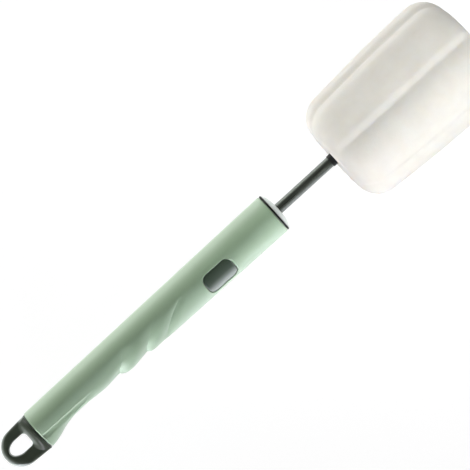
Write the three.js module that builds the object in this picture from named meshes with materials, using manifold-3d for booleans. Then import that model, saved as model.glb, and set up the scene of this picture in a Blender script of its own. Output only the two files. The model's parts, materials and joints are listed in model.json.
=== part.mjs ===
// Long-handled cup brush: a moulded grip with finger waves, a telescopic rod held by a
// spring brake, and a lobed foam head. Millimetres, +Z up.
//
// The pieces are laid out along the brush's own axis first: X runs from the tail joint of
// the grip (x = 0) to the tip of the foam, -Y is the finger side of the grip and +Z is the
// side that the button looks to. The whole brush is then laid down on its foam and its tail.
import * as THREE from 'three';
import { mergeVertices } from 'three/addons/utils/BufferGeometryUtils.js';
import Module from 'manifold-3d';

const wasm = await Module();
wasm.setup();

// Fits
const fitGap = 0.3; // between pieces that sit in each other
const slideGap = 0.3; // round a piece that slides or is pressed
const gripGap = 0.15; // brake shoe to rod, where the shoe bears

// Grip
const handleLength = 160.5;
const tailRadius = 9.9;
const frontRadius = 11.15;
const edgeChamfer = 0.6;
const frontBoreRadius = 9.0;
const frontBoreDepth = 53.5;
const rearBoreRadius = 5.2;
const tailSocketRadius = 7.7;
const tailSocketDepth = 10;

// Underside of the grip: how far it lies inside the plain cone, from the tail to the first wave
const tailScoop = [
  { at: 0, depth: -1.95 },
  { at: 7, depth: -0.56 },
  { at: 13, depth: 1.4 },
  { at: 19, depth: 2.35 },
  { at: 26, depth: 2.75 },
  { at: 39, depth: 2.0 },
];
// Finger waves: each valley has a foot on the underside and climbs forward round the side
const valleys = [
  { foot: 49.5, depth: 2.8, reach: 11 },
  { foot: 67, depth: 1.8, reach: 13.5 },
  { foot: 79.5, depth: 0.1, reach: 19 },
];
const waveSwell = 0.85; // share of the depth that the swell between two valleys fills
const waveSkew = 0.67; // below 1, a swell rises faster than it falls
const waveFadeAngle = 80; // degrees from the underside at which the waves end
const tailFadeAngle = 64; // the same for the scoop beside the tail
const tailFadeEnd = 22;
const tailFadeRun = 30;
const valleyTopAngle = 97; // degrees from the underside at which a valley's line ends
const valleyCutDepth = 1.25; // extra cut along a valley's line on the grip's side
const valleyFall = 11; // length over which the side falls to the first line
const valleyRise = 9; // length over which it rises behind the last line
const waveRunOut = 13; // length behind the last valley over which its depth fades
const reachRunIn = 14;
const reachRunOut = 40;
const creaseAngle = 58; // degrees from the underside
const creaseWall = 8; // degrees over which the step above the crease ends
const creaseDepth = 0.9;
const creaseLength = 38;

// Button and lock
const buttonFromFront = 41; // button's middle to the grip's front edge
const buttonTurn = 33; // degrees from +Z toward the finger side
const buttonLength = 17.6;
const buttonWidth = 11.2;
const buttonCorner = 3.5;
const buttonSink = 0.35;
const buttonTab = 1.4;
const buttonTabWidth = 9.6;
const buttonTabThickness = 0.9;
const buttonWall = 1.4;
const buttonWeb = 5;
const buttonStroke = 1.4;
const yokeLength = 4.4;
const yokeLeg = 1.4;
const yokeBar = 0.9;
const yokeCorner = 0.8;
const shoeThickness = 0.9;
const shoeWrap = 1.7; // height to which the shoe climbs beside the rod
const carrierFloor = 1.0; // wall between the rod and the button's pocket
const springWire = 0.45;
const springTurns = 3;
const springTopRadius = 1.5;
const springBaseRadius = 3.0;
const springHeight = 2.3;

// Rod
const rodRadius = 2.85;
const rodWall = 0.6;
const rodShown = 34.5;
const rodInHead = 21;
const extendTravel = 52;
const stopSpare = 3.3;
const stopLength = 8;
const pinRadius = 0.8;

// Front cap
const ringThickness = 1.1; // dark ring between the grip and the cap
const ringInset = 0.15;
const ringGap = 0.2;
const flangeThickness = 0.35;
const flangeInset = 0.35;
const domeHeight = 1.45;
const domeStep = 0.1;
const capSpigot = 12.5;
const bushWall = 1.8;
const bushLength = 9.1;

// Hanging loop
const loopLength = 21.75;
const loopHalfWidth = 10.7;
const loopEndRadius = 10.05;
const loopThickness = 7;
const loopBevel = 1.2;
const loopOffset = -1.35; // loop's middle line lies toward the finger side
const loopGap = 0.5; // dark line between the grip and the loop
const holeLength = 12.6;
const holeWidth = 7.7;
const holeCorner = 2.1;
const holeShift = 0.6; // hole's middle lies off the loop's, away from the finger side
const holeEndReach = 6.2; // length over which the hole draws in to its rounded end
const holeToJoint = 5.5;
const collarThickness = 1.3;
const neckLength = 8.5;
const spigotRecess = 2.2;

// Head
const headCollarRadius = 3.6;
const headCollarLength = 2.2;
const mouthDepth = 2.6; // length over which the foam closes in round the collar
const coreWall = 1.4;
const coreLength = 66;
const coreBarbs = 5;
const barbStart = 6;
const barbPitch = 11;
const barbHeight = 1.5;
const foamLength = 89.9;
const foamBaseRadius = 29.2;
const foamTopRadius = 32.9;
const foamWideAt = 72; // length from the foam's base to its widest section
const foamShoulder = 12;
const foamTipRound = 13.5;
const foamOffset = -1.2; // foam's middle line lies toward the finger side
const foamLobes = 6;
const lobeCrown = 0.018; // share by which a lobe falls off from its middle
const grooveSteep = 7.3; // degrees from a groove's bottom to its near lip
const grooveLong = 16.8; // degrees from a groove's bottom to its far lip
const grooveDepth = 0.078; // share of the radius
const foamTurn = (grooveSteep - grooveLong) / 2; // sets the lips of the lowest groove level

// Derived stations along the axis
const buttonX = handleLength - buttonFromFront;
const boreStart = handleLength - frontBoreDepth;
const ringStart = handleLength + ringGap;
const flangeStart = ringStart + ringThickness + ringGap;
const domeStart = flangeStart + flangeThickness;
const domeFront = domeStart + domeHeight;
const capSpigotEnd = handleLength + fitGap - capSpigot;
const bushStart = capSpigotEnd + fitGap;
const bushSeat = bushStart + bushLength + fitGap;
const carrierStart = boreStart + fitGap;
const carrierEnd = capSpigotEnd - fitGap;
const collarStart = domeFront + rodShown;
const foamBase = collarStart + headCollarLength + fitGap;
const rodEnd = foamBase + rodInHead;
const stopFront = carrierStart - extendTravel - stopSpare;
const rodTail = stopFront - stopLength;

const rodBore = rodRadius + slideGap;
const bushRadius = rodBore + bushWall;
const carrierRadius = frontBoreRadius - 0.2;
const pocketFloor = rodBore + carrierFloor;
const buttonFloor = pocketFloor + buttonStroke + slideGap;
const yokeInnerHalf = rodRadius + 2 * slideGap;
const yokeOuterHalf = yokeInnerHalf + yokeLeg;
const yokeTop = buttonFloor - fitGap;
const shoeTop = rodRadius + gripGap;
const shoeFoot = shoeTop + shoeThickness;
const yokeWindowFoot = shoeFoot + gripGap;
const yokeFoot = yokeWindowFoot + yokeBar;
const slotFoot = yokeFoot + springHeight;
const stopRadius = rearBoreRadius - slideGap;
const coreRadius = rodRadius + gripGap + coreWall;
const degrees = Math.PI / 180;

// Helpers
const clamp01 = (v) => Math.min(1, Math.max(0, v));
const smooth = (v) => clamp01(v) ** 2 * (3 - 2 * clamp01(v));

// Flips the winding where a geometry faces inward, and drops what a solid does not need
function closed(geometry) {
  geometry.deleteAttribute('normal');
  geometry.deleteAttribute('uv');
  const merged = mergeVertices(geometry, 1e-4);
  const p = merged.attributes.position;
  const index = Array.from(merged.index.array);
  const a = new THREE.Vector3();
  const b = new THREE.Vector3();
  const c = new THREE.Vector3();
  let volume = 0;
  for (let i = 0; i < index.length; i += 3) {
    a.fromBufferAttribute(p, index[i]);
    b.fromBufferAttribute(p, index[i + 1]);
    c.fromBufferAttribute(p, index[i + 2]);
    volume += a.dot(b.cross(c));
  }
  if (volume < 0) {
    for (let i = 0; i < index.length; i += 3) {
      [index[i], index[i + 1]] = [index[i + 1], index[i]];
    }
    merged.setIndex(index);
  }
  return merged;
}

function toSolid(geometry) {
  const g = closed(geometry);
  return new wasm.Manifold(new wasm.Mesh({
    numProp: 3,
    vertProperties: new Float32Array(g.attributes.position.array),
    triVerts: new Uint32Array(g.index.array),
  }));
}

function toGeometry(solid) {
  const m = solid.getMesh();
  const g = new THREE.BufferGeometry();
  g.setAttribute('position', new THREE.BufferAttribute(new Float32Array(m.vertProperties), 3));
  g.setIndex(new THREE.BufferAttribute(new Uint32Array(m.triVerts), 1));
  return g;
}

// Skin through rings of equal point counts, closed by a fan at each end
function loft(rings) {
  const n = rings[0].length;
  const points = rings.flat(2);
  const index = [];
  for (let k = 0; k + 1 < rings.length; k += 1) {
    for (let i = 0; i < n; i += 1) {
      const j = (i + 1) % n;
      const a = k * n + i;
      const b = k * n + j;
      index.push(a, b, a + n, b, b + n, a + n);
    }
  }
  for (const k of [0, rings.length - 1]) {
    const centre = [0, 1, 2].map((d) => rings[k].reduce((s, p) => s + p[d], 0) / n);
    const c = points.length / 3;
    points.push(...centre);
    for (let i = 0; i < n; i += 1) {
      const j = (i + 1) % n;
      if (k === 0) index.push(k * n + j, k * n + i, c);
      else index.push(k * n + i, k * n + j, c);
    }
  }
  const g = new THREE.BufferGeometry();
  g.setAttribute('position', new THREE.BufferAttribute(new Float32Array(points), 3));
  g.setIndex(index);
  return g;
}

// Revolve of [radius, x] points about the brush's axis
function revolve(profile, segments = 32) {
  const g = new THREE.LatheGeometry(profile.map(([r, x]) => new THREE.Vector2(r, x)), segments);
  return g.rotateZ(-Math.PI / 2);
}
const cylinder = (r, x0, x1, segments) => revolve([[0, x0], [r, x0], [r, x1], [0, x1]], segments);
const ring = (r0, r1, x0, x1, segments) =>
  revolve([[r0, x0], [r1, x0], [r1, x1], [r0, x1], [r0, x0]], segments);

function roundedRectangle(x0, x1, y0, y1, r) {
  const s = new THREE.Shape();
  s.moveTo(x0 + r, y0);
  s.lineTo(x1 - r, y0);
  s.absarc(x1 - r, y0 + r, r, -Math.PI / 2, 0);
  s.lineTo(x1, y1 - r);
  s.absarc(x1 - r, y1 - r, r, 0, Math.PI / 2);
  s.lineTo(x0 + r, y1);
  s.absarc(x0 + r, y1 - r, r, Math.PI / 2, Math.PI);
  s.lineTo(x0, y0 + r);
  s.absarc(x0 + r, y0 + r, r, Math.PI, 1.5 * Math.PI);
  return s;
}

function prismUp(shape, z0, z1, curveSegments = 6) {
  const g = new THREE.ExtrudeGeometry(shape, { depth: z1 - z0, bevelEnabled: false, curveSegments });
  return g.translate(0, 0, z0);
}

// Prism along the axis: the shape's x is across, its y is up
function prismAlong(shape, x0, x1, curveSegments = 4) {
  const g = new THREE.ExtrudeGeometry(shape, { depth: x1 - x0, bevelEnabled: false, curveSegments });
  const turn = new THREE.Matrix4().makeBasis(
    new THREE.Vector3(0, 1, 0),
    new THREE.Vector3(0, 0, 1),
    new THREE.Vector3(1, 0, 0),
  );
  return g.applyMatrix4(turn).translate(x0, 0, 0);
}

function block(x0, x1, y0, y1, z0, z1) {
  const g = new THREE.BoxGeometry(x1 - x0, y1 - y0, z1 - z0);
  return g.translate((x0 + x1) / 2, (y0 + y1) / 2, (z0 + z1) / 2);
}

// Lock pieces are drawn with the button straight up and then turned to its side of the grip
const turned = (geometry) => geometry.rotateX(buttonTurn * degrees);

// Grip skin
const coneRadius = (x) => tailRadius + (frontRadius - tailRadius) * clamp01(x / handleLength);

// Smooth run through {at, value} marks, flat beyond the ends
function through(marks, q) {
  if (q <= marks[0][0]) return marks[0][1];
  const last = marks.length - 1;
  if (q >= marks[last][0]) return marks[last][1];
  const k = marks.findIndex((m, i) => q < marks[i + 1][0]);
  const slope = (i) => {
    if (i === 0 || i === last) return 0;
    const s0 = (marks[i][1] - marks[i - 1][1]) / (marks[i][0] - marks[i - 1][0]);
    const s1 = (marks[i + 1][1] - marks[i][1]) / (marks[i + 1][0] - marks[i][0]);
    return s0 * s1 <= 0 ? 0 : (2 * s0 * s1) / (s0 + s1);
  };
  const span = marks[k + 1][0] - marks[k][0];
  const t = (q - marks[k][0]) / span;
  const h = t * t * (3 - 2 * t);
  const tangents = span * (slope(k) * t * (1 - t) ** 2 - slope(k + 1) * t * t * (1 - t));
  return marks[k][1] * (1 - h) + marks[k + 1][1] * h + tangents;
}

const firstValley = valleys[0];
const lastValley = valleys[valleys.length - 1];
const scoopMarks = [...tailScoop.map((m) => [m.at, m.depth]), [firstValley.foot, firstValley.depth]];
const reachMarks = [
  [firstValley.foot - reachRunIn, 0],
  ...valleys.map((v) => [v.foot, v.reach]),
  [lastValley.foot + reachRunOut, 0],
];

// Depth of the underside inside the plain cone at skin line q
function undersideDepth(q) {
  if (q <= firstValley.foot) return through(scoopMarks, q);
  if (q >= lastValley.foot) return lastValley.depth * (1 - smooth((q - lastValley.foot) / waveRunOut));
  const k = valleys.findIndex((v, i) => q < valleys[i + 1].foot);
  const v = (q - valleys[k].foot) / (valleys[k + 1].foot - valleys[k].foot);
  const base = valleys[k].depth * (1 - v) + valleys[k + 1].depth * v;
  return base * (1 - waveSwell * Math.sin(Math.PI * v ** waveSkew));
}

function waveShare(q, d) {
  const fade = tailFadeAngle + (waveFadeAngle - tailFadeAngle) * smooth((q - tailFadeEnd) / tailFadeRun);
  return (1 + Math.cos(Math.PI * clamp01(d / fade))) / 2;
}

// Cut along the valleys' lines, so that the grip's side swells between each two lines
function valleyCut(q, d) {
  const k = valleys.findIndex((v, i) => i + 1 < valleys.length && q < valleys[i + 1].foot);
  let near = 1 - clamp01((q - lastValley.foot) / valleyRise);
  if (q <= firstValley.foot) near = 1 - clamp01((firstValley.foot - q) / valleyFall);
  else if (k >= 0) near = 1 - (2 * (q - valleys[k].foot)) / (valleys[k + 1].foot - valleys[k].foot);
  const share = smooth((d - 5) / 35) * (1 - smooth((d - 0.7 * valleyTopAngle) / (0.3 * valleyTopAngle)));
  return valleyCutDepth * share * near ** 2;
}

function creaseStep(d, x) {
  const ends = smooth(x / 2) * (1 - smooth((x - 0.55 * creaseLength) / (0.45 * creaseLength)));
  const wall = 1 - smooth((d - creaseAngle) / creaseWall);
  return creaseDepth * ends * wall * smooth((d - 0.72 * creaseAngle) / (0.24 * creaseAngle));
}

// Point of the skin: line q along the grip, angle a in degrees from the finger side toward +Z
function skinPoint(q, a, shrink = 0) {
  const d = Math.abs(a);
  const lift = clamp01(d / valleyTopAngle) ** 2;
  const x = q + through(reachMarks, q) * lift;
  const wave = undersideDepth(q) * waveShare(q, d) + valleyCut(q, d);
  const r = coneRadius(x) - wave - creaseStep(d, x) - shrink;
  return [x, -r * Math.cos(a * degrees), r * Math.sin(a * degrees)];
}

const halfAngles = [
  0, 10, 20, 31, 42, 49, 56, creaseAngle + 3, creaseAngle + creaseWall,
  74, 83, 92, 103, 115, 128, 141, 154, 167,
];
const skinAngles = [...halfAngles, 180, ...halfAngles.slice(1).reverse().map((a) => -a)];

function skinStations() {
  const marks = [edgeChamfer, handleLength - edgeChamfer];
  const tail = firstValley.foot - 4;
  for (let k = 1; k <= 11; k += 1) marks.push(edgeChamfer + ((tail - edgeChamfer) * k) / 12);
  for (const offset of [-3.8, -1.6, 0, 1.6]) marks.push(firstValley.foot + offset);
  for (let i = 1; i < valleys.length; i += 1) {
    const span = valleys[i].foot - valleys[i - 1].foot;
    for (const share of [0.22, 0.36, 0.5, 0.64, 0.78, 0.9, 1]) {
      marks.push(valleys[i - 1].foot + share * span);
    }
    if (i + 1 < valleys.length) marks.push(valleys[i].foot + 0.1 * (valleys[i + 1].foot - valleys[i].foot));
  }
  const front = lastValley.foot;
  for (const offset of [1.6, 4, 8]) marks.push(front + offset);
  for (let k = 1; k <= 9; k += 1) marks.push(front + 8 + ((handleLength - edgeChamfer - front - 8) * k) / 10);
  return marks.sort((a, b) => a - b);
}

function gripSkin() {
  const rings = skinStations().map((q) => skinAngles.map((a) => skinPoint(q, a)));
  rings.unshift(skinAngles.map((a) => skinPoint(0, a, edgeChamfer)));
  rings.push(skinAngles.map((a) => skinPoint(handleLength, a, edgeChamfer)));
  return loft(rings);
}

// Button opening and crown share one outline
const buttonOutline = (grow) => roundedRectangle(
  buttonX - buttonLength / 2 - grow,
  buttonX + buttonLength / 2 + grow,
  -buttonWidth / 2 - grow,
  buttonWidth / 2 + grow,
  buttonCorner + grow,
);

function handleShell() {
  const bores = toSolid(revolve([
    [0, -1],
    [tailSocketRadius, -1],
    [tailSocketRadius, tailSocketDepth],
    [rearBoreRadius, tailSocketDepth],
    [rearBoreRadius, boreStart],
    [frontBoreRadius, boreStart],
    [frontBoreRadius, handleLength + 1],
    [0, handleLength + 1],
  ], 40));
  const opening = toSolid(turned(prismUp(buttonOutline(slideGap), pocketFloor, frontRadius + 3)));
  return toGeometry(toSolid(gripSkin()).subtract(bores).subtract(opening));
}

function releaseButton() {
  const reach = buttonLength / 2 + buttonTab;
  const x0 = buttonX - reach - 2;
  const x1 = buttonX + reach + 2;
  const crownCone = revolve([
    [0, x0],
    [coneRadius(x0) - buttonSink, x0],
    [coneRadius(x1) - buttonSink, x1],
    [0, x1],
  ], 72);
  const post = prismUp(buttonOutline(0), buttonFloor, frontRadius + 3);
  const crown = toSolid(post).intersect(toSolid(crownCone));
  const half = buttonTabWidth / 2;
  const tabs = toSolid(prismUp(
    roundedRectangle(buttonX - reach, buttonX + reach, -half, half, 1),
    buttonFloor,
    buttonFloor + buttonTabThickness,
    3,
  ));
  const hollowTop = coneRadius(buttonX) - buttonSink - buttonWall - 1;
  let body = crown.add(tabs);
  for (const side of [-1, 1]) {
    const near = buttonX + (side * buttonWeb) / 2;
    const far = buttonX + side * (buttonLength / 2 - buttonWall);
    const hollow = roundedRectangle(
      Math.min(near, far),
      Math.max(near, far),
      -buttonWidth / 2 + buttonWall,
      buttonWidth / 2 - buttonWall,
      1,
    );
    body = body.subtract(toSolid(prismUp(hollow, buttonFloor - 1, hollowTop, 3)));
  }
  return turned(toGeometry(body));
}

function lockCarrier() {
  const reach = buttonLength / 2 + buttonTab + slideGap;
  const half = buttonWidth / 2 + slideGap;
  const pocket = block(buttonX - reach, buttonX + reach, -half, half, pocketFloor, frontBoreRadius + 1);
  const slot = prismAlong(
    roundedRectangle(
      -yokeOuterHalf - slideGap,
      yokeOuterHalf + slideGap,
      -slotFoot,
      frontBoreRadius + 1,
      0.6,
    ),
    buttonX - yokeLength / 2 - slideGap,
    buttonX + yokeLength / 2 + slideGap,
    2,
  );
  const body = toSolid(ring(rodBore, carrierRadius, carrierStart, carrierEnd, 40));
  return turned(toGeometry(body.subtract(toSolid(pocket)).subtract(toSolid(slot))));
}

function lockYoke() {
  const shape = roundedRectangle(-yokeOuterHalf, yokeOuterHalf, -yokeFoot, yokeTop, yokeCorner);
  const inner = roundedRectangle(
    -yokeInnerHalf,
    yokeInnerHalf,
    -yokeWindowFoot,
    yokeTop - yokeBar,
    yokeCorner / 2,
  );
  shape.holes.push(new THREE.Path(inner.getPoints(4).reverse()));
  return turned(prismAlong(shape, buttonX - yokeLength / 2, buttonX + yokeLength / 2));
}

function brakeShoe() {
  const half = yokeInnerHalf - slideGap;
  const pad = prismAlong(
    roundedRectangle(-half, half, -shoeFoot, -shoeWrap, 0.4),
    buttonX - yokeLength / 2,
    buttonX + yokeLength / 2,
    2,
  );
  const seat = cylinder(shoeTop, buttonX - yokeLength, buttonX + yokeLength, 40);
  return turned(toGeometry(toSolid(pad).subtract(toSolid(seat))));
}

// Conical coil, which can close flat under the yoke
class ConeCoil extends THREE.Curve {
  getPoint(t, target = new THREE.Vector3()) {
    const turn = 2 * Math.PI * springTurns * t;
    const r = springTopRadius + (springBaseRadius - springTopRadius) * t;
    const run = springHeight - springWire - 2 * gripGap;
    const z = -yokeFoot - gripGap - springWire / 2 - run * t;
    const along = (r * Math.cos(turn) * yokeLength) / (2 * springBaseRadius);
    return target.set(buttonX + along, r * Math.sin(turn), z);
  }
}

function lockSpring() {
  const wire = new THREE.Shape().absarc(0, 0, springWire / 2, 0, 2 * Math.PI);
  const g = new THREE.ExtrudeGeometry(wire, {
    steps: springTurns * 14,
    curveSegments: 3,
    extrudePath: new ConeCoil(),
  });
  return turned(closed(g));
}

function frontCap() {
  const hole = rodBore;
  const top = frontRadius - flangeInset - domeStep;
  const dome = [];
  for (let k = 0; k <= 6; k += 1) {
    const r = hole + 0.5 + ((top - hole - 0.5) * k) / 6;
    const share = (r - hole - 0.5) / (top - hole - 0.5);
    dome.push([r, domeStart + domeHeight * (1 - share ** 2.2) + 0.02]);
  }
  return closed(revolve([
    [hole, domeFront - 0.5],
    ...dome,
    [top, domeStart],
    [frontRadius - flangeInset, domeStart - 0.2],
    [frontRadius - flangeInset, flangeStart],
    [frontBoreRadius - fitGap, flangeStart],
    [frontBoreRadius - fitGap, capSpigotEnd],
    [bushRadius + fitGap, capSpigotEnd],
    [bushRadius + fitGap, bushSeat],
    [hole, bushSeat],
    [hole, domeFront - 0.5],
  ], 40));
}

// Dark ring on the cap's spigot
const capRing = () => closed(ring(
  frontBoreRadius - fitGap + ringGap,
  frontRadius - ringInset,
  ringStart,
  ringStart + ringThickness,
  40,
));

const rodBush = () => closed(ring(rodBore, bushRadius, bushStart, bushStart + bushLength, 32));

function hangLoopCap() {
  const joint = -loopGap;
  const endX = -loopLength + loopEndRadius;
  const outline = new THREE.Shape();
  outline.moveTo(joint, loopOffset + loopHalfWidth);
  outline.lineTo(endX, loopOffset + loopEndRadius);
  outline.absarc(endX, loopOffset, loopEndRadius, Math.PI / 2, 1.5 * Math.PI);
  outline.lineTo(joint, loopOffset - loopHalfWidth);
  const hole = new THREE.Shape();
  const holeEnd = -holeToJoint - holeLength + holeEndReach;
  const holeLow = loopOffset + holeShift - holeWidth / 2;
  const holeHigh = holeLow + holeWidth;
  hole.moveTo(holeEnd, holeLow);
  hole.lineTo(-holeToJoint - holeCorner, holeLow);
  hole.absarc(-holeToJoint - holeCorner, holeLow + holeCorner, holeCorner, -Math.PI / 2, 0);
  hole.absarc(-holeToJoint - holeCorner, holeHigh - holeCorner, holeCorner, 0, Math.PI / 2);
  hole.lineTo(holeEnd, holeHigh);
  hole.absellipse(holeEnd, loopOffset + holeShift, holeEndReach, holeWidth / 2, Math.PI / 2, 1.5 * Math.PI);
  outline.holes.push(hole);
  const plate = new THREE.ExtrudeGeometry(outline, {
    depth: loopThickness - 2 * loopBevel,
    bevelThickness: loopBevel,
    bevelSize: loopBevel,
    bevelOffset: -loopBevel,
    bevelSegments: 2,
    curveSegments: 9,
  });
  plate.translate(0, 0, -loopThickness / 2 + loopBevel);
  // Neck: the round tail section draws in to the flat of the loop
  const rings = [];
  const necks = [[0, 1, edgeChamfer], [0.06, 1, 0], [collarThickness / neckLength, 1, 0]];
  for (let k = 1; k <= 6; k += 1) {
    const share = collarThickness / neckLength + (1 - collarThickness / neckLength) * (k / 6);
    necks.push([share, 1 - smooth(k / 6), 0]);
  }
  const flat = (loopThickness / 2 - 0.1) / tailRadius;
  for (const [share, full, shrink] of necks) {
    rings.push(skinAngles.map((a) => {
      const [, y, z] = skinPoint(0, a, shrink);
      const narrow = 0.9 + 0.1 * full;
      const height = z * (flat + (1 - flat) * full);
      return [joint - share * neckLength, loopOffset + (y - loopOffset) * narrow, height];
    }));
  }
  const spigotRadius = tailSocketRadius - fitGap;
  const spigot = revolve([
    [0, joint - 0.5],
    [spigotRadius, joint - 0.5],
    [spigotRadius, tailSocketDepth - 1.1],
    [spigotRadius - 0.6, tailSocketDepth - 0.5],
    [spigotRadius - spigotRecess, tailSocketDepth - 0.5],
    [spigotRadius - spigotRecess, joint + 1],
    [0, joint + 1],
  ], 40);
  const through = prismUp(hole, -tailRadius - 1, tailRadius + 1, 9);
  const neck = toSolid(loft(rings)).subtract(toSolid(through));
  return toGeometry(toSolid(plate).add(neck).add(toSolid(spigot)));
}

// Cross pin through the rod's inner end
const pinAt = rodTail + stopLength / 2;
const crossPin = (r, half) => cylinder(r, -half, half, 16).rotateZ(Math.PI / 2).translate(pinAt, 0, 0);

function rodTube() {
  const tube = toSolid(ring(rodRadius - rodWall, rodRadius, rodTail, rodEnd, 32));
  return toGeometry(tube.subtract(toSolid(crossPin(pinRadius + fitGap, rodRadius + 1))));
}

function rodEndStop() {
  const bore = rodRadius + gripGap;
  const sleeve = toSolid(revolve([
    [bore, rodTail],
    [stopRadius - 0.6, rodTail],
    [stopRadius, rodTail + 0.6],
    [stopRadius, stopFront - 0.6],
    [stopRadius - 0.6, stopFront],
    [bore, stopFront],
    [bore, rodTail],
  ], 32));
  return toGeometry(sleeve.subtract(toSolid(crossPin(pinRadius + fitGap, stopRadius + 1))));
}

const stopPin = () => closed(crossPin(pinRadius, stopRadius - 0.3));

// Spindle in the foam: collar, stem with barbs that hold the foam on, blind bore for the rod
function coreProfile() {
  const points = [];
  for (let k = 0; k < coreBarbs; k += 1) {
    const x = foamBase + barbStart + k * barbPitch;
    points.push([coreRadius, x], [coreRadius + barbHeight, x], [coreRadius + barbHeight, x + 0.6]);
    points.push([coreRadius, x + 0.75 * barbPitch]);
  }
  const tip = foamBase + coreLength;
  points.push([coreRadius, tip - coreRadius], [0.6 * coreRadius, tip - 0.3 * coreRadius]);
  return points;
}

function headCore() {
  const bore = rodRadius + gripGap;
  const boreEnd = rodEnd + fitGap;
  return closed(revolve([
    [0, boreEnd],
    [bore, boreEnd],
    [bore, collarStart],
    [bore + 0.35, collarStart],
    [headCollarRadius, foamBase],
    [headCollarRadius, foamBase + mouthDepth],
    [coreRadius, foamBase + mouthDepth],
    ...coreProfile(),
    [0, foamBase + coreLength],
  ], 20));
}

// Foam head: a ring of lobes whose size grows toward the tip, rounded at both ends
function foamRadius(s) {
  const swell = Math.sin((Math.PI / 2) * clamp01(s / foamWideAt));
  const body = foamBaseRadius + (foamTopRadius - foamBaseRadius) * swell;
  const shoulder = clamp01((foamShoulder - s) / foamShoulder);
  const tip = clamp01((s - (foamLength - foamTipRound)) / foamTipRound);
  const baseRound = foamShoulder * (1 - Math.sqrt(1 - shoulder ** 2));
  const tipRound = foamTipRound * (1 - Math.sqrt(1 - tip ** 2));
  return body - baseRound - tipRound;
}

// Section of the foam at an angle from a groove's bottom, the steep wall on the low side
function lobeSection(angle) {
  const pitch = 360 / foamLobes;
  const off = angle - pitch * Math.floor(angle / pitch);
  const nearLip = pitch - grooveSteep;
  if (off > nearLip) return 1 - lobeCrown - (grooveDepth * (off - nearLip)) / grooveSteep;
  if (off < grooveLong) return 1 - lobeCrown - grooveDepth * (1 - off / grooveLong);
  const across = (2 * (off - grooveLong)) / (nearLip - grooveLong) - 1;
  return 1 - lobeCrown * across ** 2;
}

// Angles of the section's points, from the bottom of a groove
function foamAngles() {
  const pitch = 360 / foamLobes;
  const nearLip = pitch - grooveSteep;
  const lobe = [0, grooveLong / 2];
  for (let k = 0; k <= 6; k += 1) lobe.push(grooveLong + ((nearLip - grooveLong) * k) / 6);
  lobe.push(pitch - grooveSteep / 2);
  return Array.from({ length: foamLobes }, (_, k) => lobe.map((o) => k * pitch + o)).flat();
}

function foamStations() {
  const list = [];
  for (const share of [0, 0.06, 0.18, 0.38, 0.66, 1]) list.push(share * foamShoulder);
  const bodyEnd = foamLength - foamTipRound;
  for (let k = 1; k <= 6; k += 1) list.push(foamShoulder + ((bodyEnd - foamShoulder) * k) / 6);
  for (const turn of [18, 34, 48, 60, 71, 81, 90]) {
    list.push(bodyEnd + foamTipRound * Math.sin(turn * degrees));
  }
  return list;
}

function spongeHead() {
  const rings = foamStations().map((s) => foamAngles().map((angle) => {
    const r = foamRadius(s) * lobeSection(angle);
    const a = (angle + foamTurn) * degrees;
    return [foamBase + s, foamOffset - r * Math.sin(a), r * Math.cos(a)];
  }));
  const mouth = headCollarRadius + fitGap;
  const wide = coreRadius + barbHeight + fitGap;
  const hollow = revolve([
    [0, foamBase - 1],
    [mouth, foamBase - 1],
    [mouth, foamBase + mouthDepth - fitGap],
    [wide, foamBase + mouthDepth - fitGap],
    [wide, foamBase + coreLength + fitGap],
    [0, foamBase + coreLength + fitGap],
  ], 24);
  return toGeometry(toSolid(loft(rings)).subtract(toSolid(hollow)));
}

// How far the foam and the tail let the axis lean when the brush lies down
function lieAngle() {
  const lowest = Math.max(...foamAngles().map((a) => lobeSection(a) * Math.cos((a + foamTurn) * degrees)));
  const slopes = foamStations().map((s) => {
    const rise = foamRadius(s) * lowest - tailRadius;
    return Math.atan2(rise, foamBase + s + loopGap + collarThickness);
  });
  return Math.max(...slopes);
}

// Materials
const colours = {
  grip: [0x9fbfa6, 0.0, 0.5],
  dark: [0x4a5045, 0.0, 0.55],
  pale: [0xb9bdb9, 0.0, 0.5],
  steel: [0x8f9496, 1.0, 0.3],
  inner: [0xe6e4dc, 0.0, 0.5],
  rubber: [0x2b2b2b, 0.0, 0.9],
  foam: [0xefece4, 0.0, 0.95],
};

const part = new THREE.Group();
part.name = 'long_handled_cup_brush';
const brush = new THREE.Group();
brush.name = 'brush_axis';
part.add(brush);

function add(name, geometry, finish) {
  geometry.computeVertexNormals();
  const [color, metalness, roughness] = colours[finish];
  const mesh = new THREE.Mesh(geometry, new THREE.MeshStandardMaterial({ color, metalness, roughness }));
  mesh.name = name;
  brush.add(mesh);
}

add('handle_shell', handleShell(), 'grip');
add('hang_loop_cap', hangLoopCap(), 'dark');
add('front_cap', frontCap(), 'pale');
add('cap_ring', capRing(), 'dark');
add('rod_bush', rodBush(), 'inner');
add('lock_carrier', lockCarrier(), 'inner');
add('lock_spring', lockSpring(), 'steel');
add('release_button', releaseButton(), 'dark');
add('lock_yoke', lockYoke(), 'inner');
add('brake_shoe', brakeShoe(), 'rubber');
add('rod_tube', rodTube(), 'steel');
add('rod_end_stop', rodEndStop(), 'inner');
add('stop_pin', stopPin(), 'steel');
add('head_core', headCore(), 'dark');
add('sponge_head', spongeHead(), 'foam');

// Laid down on the foam and the tail, with the origin under the middle of its box
brush.rotation.y = -lieAngle();
part.updateMatrixWorld(true);
const box = new THREE.Box3().setFromObject(part, true);
brush.position.set(-(box.min.x + box.max.x) / 2, -(box.min.y + box.max.y) / 2, -box.min.z);
part.updateMatrixWorld(true);

export default part;
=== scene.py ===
import json
import math

import bmesh
import bpy
from mathutils import Matrix, Vector


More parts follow.
